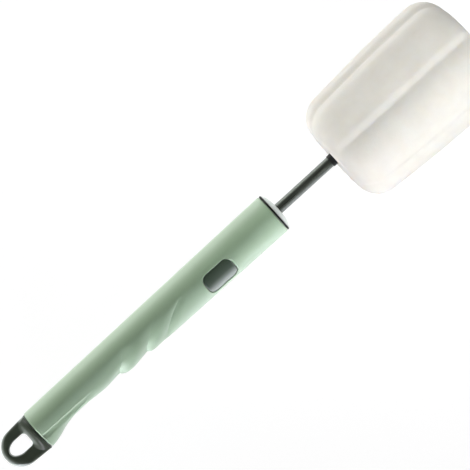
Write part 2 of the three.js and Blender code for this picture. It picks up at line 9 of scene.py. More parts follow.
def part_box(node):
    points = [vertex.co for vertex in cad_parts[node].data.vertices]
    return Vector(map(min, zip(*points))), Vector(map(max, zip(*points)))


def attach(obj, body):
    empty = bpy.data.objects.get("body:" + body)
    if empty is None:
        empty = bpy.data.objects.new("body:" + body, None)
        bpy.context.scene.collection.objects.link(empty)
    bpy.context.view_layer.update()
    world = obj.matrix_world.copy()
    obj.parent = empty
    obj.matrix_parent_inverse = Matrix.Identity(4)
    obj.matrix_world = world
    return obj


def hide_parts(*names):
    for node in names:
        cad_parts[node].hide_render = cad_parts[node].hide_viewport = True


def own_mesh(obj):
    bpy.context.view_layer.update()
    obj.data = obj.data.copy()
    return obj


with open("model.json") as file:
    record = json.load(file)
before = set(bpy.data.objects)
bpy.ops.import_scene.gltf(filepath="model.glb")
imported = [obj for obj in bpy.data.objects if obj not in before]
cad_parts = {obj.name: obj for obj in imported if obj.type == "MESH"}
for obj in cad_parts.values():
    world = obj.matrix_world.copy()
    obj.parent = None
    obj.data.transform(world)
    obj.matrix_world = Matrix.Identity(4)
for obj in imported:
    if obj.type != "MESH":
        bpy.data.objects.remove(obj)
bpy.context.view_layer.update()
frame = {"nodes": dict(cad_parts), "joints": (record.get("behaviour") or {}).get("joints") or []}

# Sizes in millimetres and degrees along the brush's own axis: x from the grip's tail joint to the
# foam's tip, -y the finger side, z the side that the photograph shows.
GAP = 0.3
ROUND_STEPS = 6
SHARP = 32
ALL_SMOOTH = 180
PLAIN_SIDES = 96
FINE_SIDES = 128

# Grip, its ends rounded by points (from the end, inset)
HANDLE_LENGTH = 159.8
TAIL_RADIUS = 9.9
FRONT_RADIUS = 11.15
EDGE = 0.6
EDGE_POINTS = [(0.0, EDGE), (0.1, 0.34), (0.26, 0.15), (0.45, 0.04), (EDGE, 0.0)]
SKIN_STEP = 0.9
SKIN_TURN = 2.5
FRONT_BORE = 9.0
FRONT_BORE_DEPTH = 52.8
FRONT_BORE_EDGE = 0.3
REAR_BORE = 5.2
SOCKET_RADIUS = 7.7
SOCKET_DEPTH = 10.0

# Underside of the grip: (x, depth) of the tail's scoop, then (x, depth, reach) of each valley,
# whose line is drawn forward by the reach as it climbs the side
SCOOP = [(0, -1.95), (7, -0.56), (13, 1.4), (19, 2.35), (26, 2.75), (39, 2.0), (49.5, 2.8)]
VALLEYS = [(49.5, 2.8, 11.0), (67.0, 1.8, 13.5), (79.5, 0.1, 19.0)]
VALLEY_MARKS = (-0.6, -0.3, -0.1, 0, 0.1, 0.3, 0.6, 1.2)
REACH_IN = 14.0
REACH_OUT = 40.0
SWELL = 0.85
SKEW = 0.67
RUN_OUT = 13.0
FADE = 80.0
TAIL_FADE = 64.0
FADE_FROM = 22.0
FADE_RUN = 30.0
VALLEY_TOP = 97.0
VALLEY_CUT = 1.25
VALLEY_FALL = 11.0
VALLEY_RISE = 9.0
VALLEY_CLEAR = 5.0
VALLEY_GROW = 35.0
VALLEY_HOLD = 0.7

# Crease line along the tail
CREASE_ANGLE = 58.0
CREASE_DEPTH = 0.9
CREASE_LENGTH = 38.0
CREASE_START = 2.0
CREASE_HOLD = 0.55
CREASE_WALL = 8.0
CREASE_FOOT = 0.72
CREASE_RISE = 0.24
CREASE_LEAD = 4.0
CREASE_TURN = 0.8
CREASE_TURNS = 18

# Button and its window
BUTTON_X = 119.5
BUTTON_TURN = math.radians(33)
BUTTON_LENGTH = 17.6
BUTTON_WIDTH = 11.2
BUTTON_CORNER = 3.5
BUTTON_EDGE = 0.6
BUTTON_SINK = 0.35
BUTTON_TILT = 0.2
BUTTON_FLOOR = 5.85
BUTTON_RINGS = 14
CORNER_STEPS = 10
OUTLINE_STEP = 0.8
WINDOW_ROUND = 0.45
WINDOW_LOW = 3.5
WINDOW_HIGH = 14.0
BEAD_UNDER = 0.01
BEAD_PAST = 0.1
BEAD_TOP = 0.15
BEAD_FOOT = 2.3

# Lock spring
SPRING_WIRE = 0.45
SPRING_TURNS = 3
SPRING_TOP = -5.1
SPRING_BASE = -7.1
SPRING_TOP_RADIUS = 1.5
SPRING_BASE_RADIUS = 3.0
SPRING_LENGTH = 4.4
COIL_STEPS = 32
COIL_SIDES = 10
COIL_NUDGE = 0.001

# Hanging loop
LOOP_LENGTH = 21.75
LOOP_HALF = 10.7
LOOP_END = 10.05
LOOP_THICK = 7.0
LOOP_OFFSET = -1.35
LOOP_GAP = 0.5
LOOP_SIDE_STEPS = 16
LOOP_END_STEPS = 64
LOOP_SHARP = 40
LOOP_SHARES = (
    0, 0.012, 0.035, 0.07, 0.12, 0.18, 0.25, 0.33, 0.42, 0.5,
    0.6, 0.68, 0.76, 0.83, 0.89, 0.94, 0.97, 0.99, 1,
)
JOINT_EDGE = 0.4
NECK_EDGE = 1.8
END_EDGE = 3.2
END_EDGE_FROM = 12.0
END_EDGE_RUN = 8.0
HOLE_LENGTH = 12.6
HOLE_WIDTH = 7.7
HOLE_CORNER = 2.1
HOLE_END = 6.2
HOLE_TO_JOINT = 5.5
HOLE_SHIFT = 0.6
HOLE_EDGE = 1.3
HOLE_MOST = 12.0
HALVINGS = 40
NECK = 8.5
NECK_COLLAR = 1.3
TAIL_TURN = 3
SPIGOT_CLEAR = 0.5
SPIGOT_EDGE = 0.6

# Front ring, cap and rod
RING_START = 159.95
RING_END = 160.85
RING_RADIUS = 11.0
RING_FIT = 0.2
RING_ROUND = 0.15
FLANGE_START = 161.0
DOME_START = 161.3
DOME_HEIGHT = 1.9
DOME_RADIUS = 10.8
DOME_POWER = 2.2
DOME_STEPS = 24
DOME_EDGE = 0.1
DOME_DROP = 0.12
DOME_LIP = 0.5
DOME_LIP_CUT = 0.15
CAP_END = 148.3
CAP_POCKET = 5.5
CAP_POCKET_END = 158.0
ROD_RADIUS = 2.85
ROD_WALL = 0.6
ROD_EDGE = 0.2
ROD_TAIL = 44.0
ROD_END = 221.8

# Spindle in the foam, with its collar
COLLAR_START = 198.3
COLLAR_RADIUS = 3.3
COLLAR_DEPTH = 2.6
COLLAR_EDGE = 0.1
CORE_LENGTH = 66.0
CORE_FIT = 0.15
CORE_WALL = 1.4
CORE_TAPER = 4.0
CORE_TIP = 1.4
CORE_TIP_SHARE = 0.6
CORE_SIDES = 64
BARBS = 5
BARB_START = 6.0
BARB_PITCH = 11.0
BARB_HEIGHT = 1.5
BARB_FLAT = 0.6
BARB_LENGTH = 8.25

# Foam head; groove depth and crown are shares of its radius
FOAM_BASE = 200.8
FOAM_LENGTH = 89.9
FOAM_BASE_RADIUS = 29.0
FOAM_TOP_RADIUS = 32.6
FOAM_WIDE_AT = 72.0
FOAM_SHOULDER = 12.0
FOAM_TIP = 13.5
FOAM_OFFSET = -1.2
FOAM_TURN = -2.9
FOAM_BORE = 6.45
FOAM_SHARP = 60
SHOULDER_STEPS = 15
BODY_STEPS = 48
TIP_STEPS = 24
BASE_SHARES = (0.3, 0.6, 0.85)
TIP_SHARES = (0.12, 0.3, 0.5, 0.7, 0.88)
MOUTH_EDGE = 0.6
MOUTH_DEPTH = 2.3
LOBES = 6
LOBE_STEPS = 48
LOBE_CROWN = 0.018
GROOVE_STEEP = 7.3
GROOVE_LONG = 13.5
GROOVE_DEPTH = 0.05
LIP_SOFT = 1.8
LIP_SAMPLES = 3

# Surfaces: noise scales per metre, bump heights and the merging of points in metres
MERGE = 2e-7
NOISE_LOW = 0.3
NOISE_HIGH = 0.7
MOTTLE_SCALE = 55
GLOSS_SCALE = 140
GLOSS_LESS = 0.04
GLOSS_MORE = 0.05
GRAIN_SCALE = 2600
GRAIN_HEIGHT = 0.00006
COAT_ROUGH = 0.55
COAT_IOR = 1.5
RIM_COLOUR = (0.88, 0.95, 0.9, 1)
RIM_ROUGH = 0.6
RIM_RUN = 4.0
STREAK_SCALE = 900
STREAK_STRETCH = (0.02, 1, 1)
STREAK_HEIGHT = 0.00003
STREAK_BUMP = 0.1
STREAK_LESS = 0.06
STREAK_MORE = 0.08
CELL_SCALE = 1500
CELL_HEIGHT = 0.0002
CELL_BUMP = 0.25
CLOUD_SCALE = 120
CLOUD_HEIGHT = 0.0006
CLOUD_BUMP = 0.12

# Stage, its floor and camera in metres
WHITE = (1, 1, 1)
COOL = (1.03, 1.0, 1.15)
CLEAR = (0.985, 1.0, 1.03)
FLOOR_HALF = 4.0
FLOOR_COLOUR = (0.82, 0.82, 0.81, 1)
FLOOR_SHADE = (0.2, 0.2, 0.2, 1)
FLOOR_GLOW = 0.93
SKY_LIGHT = 0.26
CAMERA_DISTANCE = 1.3
CAMERA_LEAN = 42.3
CAMERA_SENSOR = 36
CAMERA_CLIP = 20
PICTURE_WIDTH = 0.235
PICTURE_CENTRE = (138.5, 4.92, 0)

# The brush's own frame, from the slide joint and the low corner of the rod's tail
slide = next(j for j in frame["joints"] if j["name"] == "rod_slide")
axis = Vector(slide["axis"]).normalized()
side = Vector((0, 1, 0))
face = axis.cross(side)
rod_low, rod_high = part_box("rod_tube")
origin = Vector((
    rod_low.x - ROD_TAIL / 1000 * axis.x + ROD_RADIUS / 1000 * axis.z,
    (rod_low.y + rod_high.y) / 2,
    rod_low.z - ROD_TAIL / 1000 * axis.z + ROD_RADIUS / 1000 * axis.x,
))
BRUSH = Matrix.Translation(origin) @ Matrix((axis, side, face)).transposed().to_4x4()
MM = BRUSH @ Matrix.Scale(0.001, 4)


def clamp(v):
    return min(1.0, max(0.0, v))


def smooth(v):
    v = clamp(v)
    return v * v * (3 - 2 * v)


def link(obj):
    bpy.context.scene.collection.objects.link(obj)
    return obj


# Materials
def add(tree, kind, **values):
    """New node with inputs set by name, an underscore for each space in the name."""
    node = tree.nodes.new("ShaderNode" + kind)
    put(node, **values)
    return node


def put(node, **values):
    for name, value in values.items():
        node.inputs[name.replace("_", " ")].default_value = value


def new_material(name):
    mat = bpy.data.materials.new(name)
    mat.use_nodes = True
    tree = mat.node_tree
    coord = add(tree, "TexCoord").outputs["Object"]
    return mat, tree, tree.nodes["Principled BSDF"], coord


def noise(tree, coord, scale, detail, stretch=(1, 1, 1)):
    mapping = add(tree, "Mapping", Scale=stretch)
    tree.links.new(coord, mapping.inputs["Vector"])
    tex = add(tree, "TexNoise", Scale=scale, Detail=detail)
    tree.links.new(mapping.outputs["Vector"], tex.inputs["Vector"])
    return tex.outputs["Fac"]


def map_range(tree, value, start, stop, low, high):
    ramp = add(tree, "MapRange", From_Min=start, From_Max=stop, To_Min=low, To_Max=high)
    tree.links.new(value, ramp.inputs["Value"])
    return ramp


def spread(tree, fac, low, high):
    return map_range(tree, fac, NOISE_LOW, NOISE_HIGH, low, high).outputs["Result"]


def tint(tree, fac, low, high):
    ramp = add(tree, "ValToRGB")
    first, last = ramp.color_ramp.elements
    first.position = NOISE_LOW
    last.position = NOISE_HIGH
    first.color = (*low, 1)
    last.color = (*high, 1)
    tree.links.new(fac, ramp.inputs["Fac"])
    return ramp.outputs["Color"]


def bump(tree, height, strength, distance, normal=None):
    node = add(tree, "Bump", Strength=strength, Distance=distance)
    tree.links.new(height, node.inputs["Height"])
    if normal is not None:
        tree.links.new(normal, node.inputs["Normal"])
    return node.outputs["Normal"]


def blend(tree, fac, first, second, out):
    """Mix of two shaders, led to a material's or a world's surface."""
    mix = add(tree, "MixShader")
    tree.links.new(fac, mix.inputs["Fac"])
    tree.links.new(first.outputs[0], mix.inputs[1])
    tree.links.new(second.outputs[0], mix.inputs[2])
    tree.links.new(mix.outputs[0], out.inputs["Surface"])


def along(tree, coord, near, far, low, high):
    """Value that runs from one to another between two places along the brush."""
    split = add(tree, "SeparateXYZ")
    tree.links.new(coord, split.inputs[0])
    start = (MM @ Vector((near, 0, 0))).x
    stop = (MM @ Vector((far, 0, 0))).x
    return map_range(tree, split.outputs["X"], start, stop, low, high).outputs["Result"]


def grazing(tree, shader, normal, start, stop, share):
    """Soft gloss that grows where the surface turns away, from one facing value to another."""
    facing = add(tree, "LayerWeight", Blend=0.5)
    ramp = map_range(tree, facing.outputs["Facing"], start, stop, 0.0, share)
    gloss = add(tree, "BsdfGlossy", Color=RIM_COLOUR, Roughness=RIM_ROUGH)
    tree.links.new(normal, gloss.inputs["Normal"])
    out = next(n for n in tree.nodes if n.type == "OUTPUT_MATERIAL")
    blend(tree, ramp.outputs["Result"], shader, gloss, out)
    return ramp


def moulded(
    name, low, high, rough, grain=0.12, specular=0.5, sheen=0.0, nap=0.6, coat=0.0, rim=None,
    loop_rim=None,
):
    """Moulded plastic: a faint mottle, fine eroded grain and uneven gloss.

    rim is where the grazing gloss starts, where it is full, and its share. loop_rim is where it
    starts beyond the neck of the hanging loop.
    """
    mat, tree, shader, coord = new_material(name)
    mottle = noise(tree, coord, MOTTLE_SCALE, detail=4)
    gloss = noise(tree, coord, GLOSS_SCALE, detail=3)
    fine = noise(tree, coord, GRAIN_SCALE, detail=2)
    uneven = spread(tree, gloss, rough - GLOSS_LESS, rough + GLOSS_MORE)
    normal = bump(tree, fine, grain, GRAIN_HEIGHT)
    tree.links.new(tint(tree, mottle, low, high), shader.inputs["Base Color"])
    tree.links.new(uneven, shader.inputs["Roughness"])
    tree.links.new(normal, shader.inputs["Normal"])
    put(shader, Specular_IOR_Level=specular, Sheen_Weight=sheen, Sheen_Roughness=nap)
    put(shader, Coat_Weight=coat, Coat_Roughness=COAT_ROUGH, Coat_IOR=COAT_IOR)
    if rim:
        ramp = grazing(tree, shader, normal, *rim)
        if loop_rim:
            neck = -LOOP_GAP - NECK
            start = along(tree, coord, neck, neck - RIM_RUN, rim[0], loop_rim)
            tree.links.new(start, ramp.inputs["From Min"])
    return mat


def steel(name, low, high, rough, rim):
    """Drawn steel: streaks along the rod in colour, gloss and height."""
    mat, tree, shader, coord = new_material(name)
    streak = noise(tree, coord, STREAK_SCALE, detail=3, stretch=STREAK_STRETCH)
    uneven = spread(tree, streak, rough - STREAK_LESS, rough + STREAK_MORE)
    normal = bump(tree, streak, STREAK_BUMP, STREAK_HEIGHT)
    tree.links.new(tint(tree, streak, low, high), shader.inputs["Base Color"])
    tree.links.new(uneven, shader.inputs["Roughness"])
    tree.links.new(normal, shader.inputs["Normal"])
    put(shader, Metallic=1.0)
    grazing(tree, shader, normal, *rim)
    return mat


def open_foam(name, low, high):
    """Open-cell foam: small cells, a soft uneven surface and light that soaks in."""
    mat, tree, shader, coord = new_material(name)
    cells = add(tree, "TexVoronoi", Scale=CELL_SCALE)
    tree.links.new(coord, cells.inputs["Vector"])
    cloud = noise(tree, coord, CLOUD_SCALE, detail=4)
    coarse = bump(tree, cloud, CLOUD_BUMP, CLOUD_HEIGHT)
    normal = bump(tree, cells.outputs["Distance"], CELL_BUMP, CELL_HEIGHT, coarse)
    tree.links.new(tint(tree, cloud, low, high), shader.inputs["Base Color"])
    tree.links.new(normal, shader.inputs["Normal"])
    put(shader, Roughness=0.95, Specular_IOR_Level=0.15)
    put(shader, Subsurface_Weight=0.6, Subsurface_Radius=(1.0, 0.9, 0.75), Subsurface_Scale=0.004)
    return mat


green = moulded(
    "grip_green",
    low=(0.315, 0.455, 0.29),
    high=(0.34, 0.48, 0.315),
    rough=0.5,
    specular=0.25,
    sheen=0.12,
    coat=0.8,
    rim=(0.25, 1.0, 0.3),
)
satin = moulded(
    "button_plastic",
    low=(0.007, 0.03, 0.008),
    high=(0.012, 0.036, 0.012),
    rough=0.4,
    grain=0.08,
    specular=0.12,
    sheen=0.6,
    rim=(0.12, 0.5, 0.19),
)
dark = moulded(
    "dark_plastic",
    low=(0.024, 0.033, 0.02),
    high=(0.031, 0.041, 0.026),
    rough=0.42,
    specular=0.2,
    sheen=0.3,
    nap=0.3,
    rim=(0.48, 0.95, 0.45),
    loop_rim=0.16,
)
black = moulded(
    "black_plastic",
    low=(0.008, 0.009, 0.008),
    high=(0.013, 0.014, 0.013),
    rough=0.4,
    specular=0.15,
)
pale = moulded(
    "pale_plastic",
    low=(0.74, 0.79, 0.75),
    high=(0.78, 0.83, 0.79),
    rough=0.42,
    sheen=0.6,
    rim=(0.2, 1.0, 0.45),
)
inner = moulded("inner_plastic", low=(0.74, 0.72, 0.66), high=(0.8, 0.78, 0.72), rough=0.5)
rubber = moulded(
    "shoe_rubber",
    low=(0.02, 0.02, 0.02),
    high=(0.035, 0.035, 0.035),
    rough=0.75,
    grain=0.3,
)
rod_steel = steel(
    "rod_steel",
    low=(0.024, 0.027, 0.022),
    high=(0.036, 0.04, 0.034),
    rough=0.3,
    rim=(0.04, 0.6, 0.17),
)
foam = open_foam("foam", low=(0.87, 0.84, 0.765), high=(0.91, 0.885, 0.815))


# Meshes
def grid(rows, wrap_rows=False, flip=False):
    """Vertices and quads of a skin through rows of equal length, closed round each row."""
    n = len(rows[0])
    verts = [p for row in rows for p in row]
    faces = []
    last = len(rows) if wrap_rows else len(rows) - 1
    for k in range(last):
        a = k * n
        b = ((k + 1) % len(rows)) * n
        for i in range(n):
            j = (i + 1) % n
            quad = (a + i, a + j, b + j, b + i)
            faces.append(quad[::-1] if flip else quad)
    return verts, faces


def add_cap(verts, faces, first, count, centre):
    """Fan that closes a row toward a point."""
    c = len(verts)
    verts.append(centre)
    for i in range(count):
        faces.append((first + i, first + (i + 1) % count, c))


def lathe(profile, sides=PLAIN_SIDES):
    """Closed revolve of (radius, x) points about the brush's axis."""
    rows = []
    for r, x in profile:
        row = []
        for i in range(sides):
            a = 2 * math.pi * i / sides
            row.append((x, r * math.cos(a), r * math.sin(a)))
        rows.append(row)
    return grid(rows, wrap_rows=True)


def brush_mesh(name, shape, sharp):
    """Mesh in metres from a shape in the brush's own millimetres."""
    verts, faces = shape
    mesh = bpy.data.meshes.new(name)
    mesh.from_pydata([MM @ Vector(v) for v in verts], [], faces)
    bm = bmesh.new()
    bm.from_mesh(mesh)
    bmesh.ops.remove_doubles(bm, verts=bm.verts, dist=MERGE)
    loose = [e for e in bm.edges if not e.link_faces]
    bmesh.ops.delete(bm, geom=loose, context="EDGES")
    bmesh.ops.recalc_face_normals(bm, faces=bm.faces)
    bm.to_mesh(mesh)
    bm.free()
    mesh.shade_smooth()
    mesh.set_sharp_from_angle(angle=math.radians(sharp))
    mesh.update()
    return mesh


def piece(name, shape, material, body, node=None, sharp=SHARP):
    mesh = brush_mesh(name, shape, sharp)
    mesh.materials.append(material)
    obj = link(bpy.data.objects.new(name, mesh))
    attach(obj, body)
    if node:
        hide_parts(node)
    return obj


def quarter_round(radius):
    """Points of a rounded edge as distances from its two faces."""
    turns = [math.radians(90 * k / ROUND_STEPS) for k in range(ROUND_STEPS + 1)]
    return [(radius * (1 - math.cos(a)), radius * (1 - math.sin(a))) for a in turns]


# Grip
def cone_radius(x):
    return TAIL_RADIUS + (FRONT_RADIUS - TAIL_RADIUS) * clamp(x / HANDLE_LENGTH)


def through(marks, q):
    """Height at q of a smooth line through (q, height) marks that doesn't overshoot them."""
    if q <= marks[0][0]:
        return marks[0][1]
    last = len(marks) - 1
    if q >= marks[last][0]:
        return marks[last][1]
    k = next(i for i in range(last) if q < marks[i + 1][0])

    def slope(i):
        if i in (0, last):
            return 0.0
        s0 = (marks[i][1] - marks[i - 1][1]) / (marks[i][0] - marks[i - 1][0])
        s1 = (marks[i + 1][1] - marks[i][1]) / (marks[i + 1][0] - marks[i][0])
        return 0.0 if s0 * s1 <= 0 else 2 * s0 * s1 / (s0 + s1)

    span = marks[k + 1][0] - marks[k][0]
    t = (q - marks[k][0]) / span
    h = smooth(t)
    run = span * (slope(k) * t * (1 - t) ** 2 - slope(k + 1) * t * t * (1 - t))
    return marks[k][1] * (1 - h) + marks[k + 1][1] * h + run


REACHES = [(VALLEYS[0][0] - REACH_IN, 0.0)]
REACHES += [(foot, reach) for foot, depth, reach in VALLEYS]
REACHES += [(VALLEYS[-1][0] + REACH_OUT, 0.0)]


def between_valleys(q):
    """Number of the valley behind q, and how far q is on the way to the next one."""
    k = next(i for i in range(len(VALLEYS) - 1) if q < VALLEYS[i + 1][0])
    return k, (q - VALLEYS[k][0]) / (VALLEYS[k + 1][0] - VALLEYS[k][0])


def underside_depth(q):
    """Depth of the scoop, the valleys and the swells in the middle of the finger side."""
    if q <= VALLEYS[0][0]:
        return through(SCOOP, q)
    if q >= VALLEYS[-1][0]:
        return VALLEYS[-1][1] * (1 - smooth((q - VALLEYS[-1][0]) / RUN_OUT))
    k, v = between_valleys(q)
    base = VALLEYS[k][1] * (1 - v) + VALLEYS[k + 1][1] * v
    return base * (1 - SWELL * math.sin(math.pi * v ** SKEW))


def wave_share(q, d):
    """Share of the underside's depth that is left at an angle from the finger side."""
    fade = TAIL_FADE + (FADE - TAIL_FADE) * smooth((q - FADE_FROM) / FADE_RUN)
    return (1 + math.cos(math.pi * clamp(d / fade))) / 2


def crease_step(d, x):
    """Step along the tail, steep on the side away from the fingers."""
    run = (x - CREASE_HOLD * CREASE_LENGTH) / ((1 - CREASE_HOLD) * CREASE_LENGTH)
    ends = smooth(x / CREASE_START) * (1 - smooth(run))
    wall = 1 - smooth((d - CREASE_ANGLE) / CREASE_WALL)
    rise = smooth((d - CREASE_FOOT * CREASE_ANGLE) / (CREASE_RISE * CREASE_ANGLE))
    return CREASE_DEPTH * ends * wall * rise


def valley_cut(q, d):
    """Cut along the valleys' lines, so that the grip's side swells between each two lines."""
    first = VALLEYS[0][0]
    last = VALLEYS[-1][0]
    if q <= first:
        near = clamp(1 - (first - q) / VALLEY_FALL)
    elif q >= last:
        near = clamp(1 - (q - last) / VALLEY_RISE)
    else:
        near = 1 - 2 * between_valleys(q)[1]
    fade = (d - VALLEY_HOLD * VALLEY_TOP) / ((1 - VALLEY_HOLD) * VALLEY_TOP)
    share = smooth((d - VALLEY_CLEAR) / VALLEY_GROW) * (1 - smooth(fade))
    return VALLEY_CUT * share * near ** 2


def round_point(x, r, a):
    """Point at a radius and at an angle from the finger side."""
    return (x, -r * math.cos(math.radians(a)), r * math.sin(math.radians(a)))


def skin_point(q, a, inset=0.0):
    d = abs(a)
    x = q + through(REACHES, q) * clamp(d / VALLEY_TOP) ** 2
    wave = underside_depth(q) * wave_share(q, d) + valley_cut(q, d)
    return round_point(x, cone_radius(x) - wave - crease_step(d, x) - inset, a)


def grip_angles():
    """Angles round the grip, closer together at the crease."""
    half = [SKIN_TURN * k for k in range(1, round(180 / SKIN_TURN))]
    half += [CREASE_ANGLE - CREASE_LEAD + CREASE_TURN * k for k in range(CREASE_TURNS)]
    half = sorted(set(half))
    return [0.0] + half + [180.0] + [-a for a in reversed(half)]


def grip_stations():
    """(x, inset) of the skin's rows, closer together at the ends and the valleys."""
    marks = EDGE_POINTS + [(HANDLE_LENGTH - x, inset) for x, inset in EDGE_POINTS]
    inside = [EDGE + SKIN_STEP * k for k in range(1, int(HANDLE_LENGTH / SKIN_STEP))]
    for foot, depth, reach in VALLEYS:
        inside += [foot + o for o in VALLEY_MARKS]
    marks += [(q, 0.0) for q in inside if q < HANDLE_LENGTH - EDGE - SKIN_STEP / 3]
    return sorted(set(marks))


def rounded_outline(grow):
    """Button outline as (x, across) points, grown by a distance."""
    hx = BUTTON_LENGTH / 2 + grow
    hy = BUTTON_WIDTH / 2 + grow
    r = BUTTON_CORNER + grow
    points = []
    for sx, sy, start in ((1, 1, 0), (-1, 1, 90), (-1, -1, 180), (1, -1, 270)):
        for k in range(CORNER_STEPS + 1):
            a = math.radians(start + 90 * k / CORNER_STEPS)
            x = BUTTON_X + sx * (hx - r) + r * math.cos(a)
            points.append((x, sy * (hy - r) + r * math.sin(a)))
    dense = []
    for i, p in enumerate(points):
        q = points[(i + 1) % len(points)]
        parts = max(1, round(math.dist(p, q) / OUTLINE_STEP))
        for k in range(parts):
            t = k / parts
            dense.append((p[0] + (q[0] - p[0]) * t, p[1] + (q[1] - p[1]) * t))
    return dense


def button_frame(x, across, up):
    """A point drawn with the button straight up, turned to the button's side of the grip."""
    c = math.cos(BUTTON_TURN)
    s = math.sin(BUTTON_TURN)
    return (x, across * c - up * s, across * s + up * c)


def on_grip(x, across, sink=0.0):
    """Height of the grip's skin over the axis, less a depth, in the button's own frame."""
    return math.sqrt((cone_radius(x) - sink) ** 2 - across ** 2)


def window_cutter():
    outline = rounded_outline(GAP + WINDOW_ROUND)
    n = len(outline)
    ends = (WINDOW_LOW, WINDOW_HIGH)
    verts, faces = grid([[button_frame(x, y, up) for x, y in outline] for up in ends])
    faces.append(tuple(reversed(range(n))))
    faces.append(tuple(range(n, 2 * n)))
    mesh = brush_mesh("window_cutter", (verts, faces), ALL_SMOOTH)
    return link(bpy.data.objects.new("window_cutter", mesh))


def window_bead():
    """Closed bead that rounds the window's edge and lines its wall."""
    rows = []
    for sink, grow in quarter_round(WINDOW_ROUND):
        outline = rounded_outline(GAP + grow)
        rows.append([button_frame(x, y, on_grip(x, y, BEAD_UNDER) - sink) for x, y in outline])
    outer = GAP + WINDOW_ROUND + BEAD_PAST
    for grow, sink in ((GAP, BEAD_FOOT), (outer, BEAD_FOOT), (outer, BEAD_TOP)):
        rows.append([button_frame(x, y, on_grip(x, y) - sink) for x, y in rounded_outline(grow)])
    return grid(rows, wrap_rows=True, flip=True)


def build_grip():
    angles = grip_angles()
    bore_start = HANDLE_LENGTH - FRONT_BORE_DEPTH
    bore = [
        (FRONT_BORE + FRONT_BORE_EDGE, HANDLE_LENGTH),
        (FRONT_BORE, HANDLE_LENGTH - FRONT_BORE_EDGE),
        (FRONT_BORE, bore_start),
        (REAR_BORE, bore_start),
        (REAR_BORE, SOCKET_DEPTH),
        (SOCKET_RADIUS, SOCKET_DEPTH),
        (SOCKET_RADIUS, 0.0),
    ]
    rows = [[skin_point(q, a, inset) for a in angles] for q, inset in grip_stations()]
    rows += [[round_point(x, r, a) for a in angles] for r, x in bore]
    grip = piece("grip", grid(rows, wrap_rows=True), green, "handle", "handle_shell")
    cutter = window_cutter()
    cut = grip.modifiers.new("window", "BOOLEAN")
    cut.operation = "DIFFERENCE"
    cut.solver = "EXACT"
    cut.object = cutter
    graph = bpy.context.evaluated_depsgraph_get()
    opened = bpy.data.meshes.new_from_object(grip.evaluated_get(graph))
    grip.modifiers.clear()
    bpy.data.objects.remove(cutter)
    verts, faces = window_bead()
    bm = bmesh.new()
    bm.from_mesh(opened)
    made = [bm.verts.new(MM @ Vector(v)) for v in verts]
    for f in faces:
        bm.faces.new([made[i] for i in f]).smooth = True
    bm.to_mesh(opened)
    bm.free()
    opened.set_sharp_from_angle(angle=math.radians(SHARP))
    grip.data = opened


def button_top(x, across):
    """Height of the button, which stands a little prouder toward the fingers."""
    return on_grip(x, across, BUTTON_SINK + BUTTON_TILT * 2 * across / BUTTON_WIDTH)


def build_button():
    rows = [[button_frame(x, y, BUTTON_FLOOR) for x, y in rounded_outline(0)]]
    for inset, drop in quarter_round(BUTTON_EDGE):
        outline = rounded_outline(-inset)
        rows.append([button_frame(x, y, button_top(x, y) - drop) for x, y in outline])
    ring = rounded_outline(-BUTTON_EDGE)
    for k in range(1, BUTTON_RINGS):
        s = 1 - k / BUTTON_RINGS
        flat = [(BUTTON_X + (x - BUTTON_X) * s, y * s) for x, y in ring]
        rows.append([button_frame(x, y, button_top(x, y)) for x, y in flat])
    verts, faces = grid(rows)
    n = len(ring)
    middle = button_frame(BUTTON_X, 0, button_top(BUTTON_X, 0))
    add_cap(verts, faces, (len(rows) - 1) * n, n, middle)
    faces.append(tuple(reversed(range(n))))
    piece("button", (verts, faces), satin, "button", "release_button")


def coil_point(t):
    """Middle of the spring's wire, from its narrow top to its wide base."""
    turn = 2 * math.pi * SPRING_TURNS * t
    r = SPRING_TOP_RADIUS + (SPRING_BASE_RADIUS - SPRING_TOP_RADIUS) * t
    reach = r * math.cos(turn) * SPRING_LENGTH / (2 * SPRING_BASE_RADIUS)
    up = SPRING_TOP - SPRING_WIRE / 2 + (SPRING_BASE - SPRING_TOP + SPRING_WIRE) * t
    return Vector((BUTTON_X + reach, r * math.sin(turn), up))


def build_spring():
    """Conical coil under the yoke, built at rest, of the kind that closes flat as the button goes
    in.
    """
    steps = COIL_STEPS * SPRING_TURNS
    rows = []
    for k in range(steps + 1):
        t = k / steps
        ahead = (coil_point(t + COIL_NUDGE) - coil_point(t - COIL_NUDGE)).normalized()
        out = ahead.cross(Vector((0, 0, 1))).normalized()
        rise = out.cross(ahead)
        ring = []
        for i in range(COIL_SIDES):
            a = 2 * math.pi * i / COIL_SIDES
            ring.append(coil_point(t) + (out * math.cos(a) + rise * math.sin(a)) * SPRING_WIRE / 2)
        rows.append([button_frame(*p) for p in ring])
    verts, faces = grid(rows)
    add_cap(verts, faces, 0, COIL_SIDES, button_frame(*coil_point(0)))
    add_cap(verts, faces, steps * COIL_SIDES, COIL_SIDES, button_frame(*coil_point(1)))
    spring = piece("spring", (verts, faces), rod_steel, "handle", "lock_spring")
    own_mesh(spring)


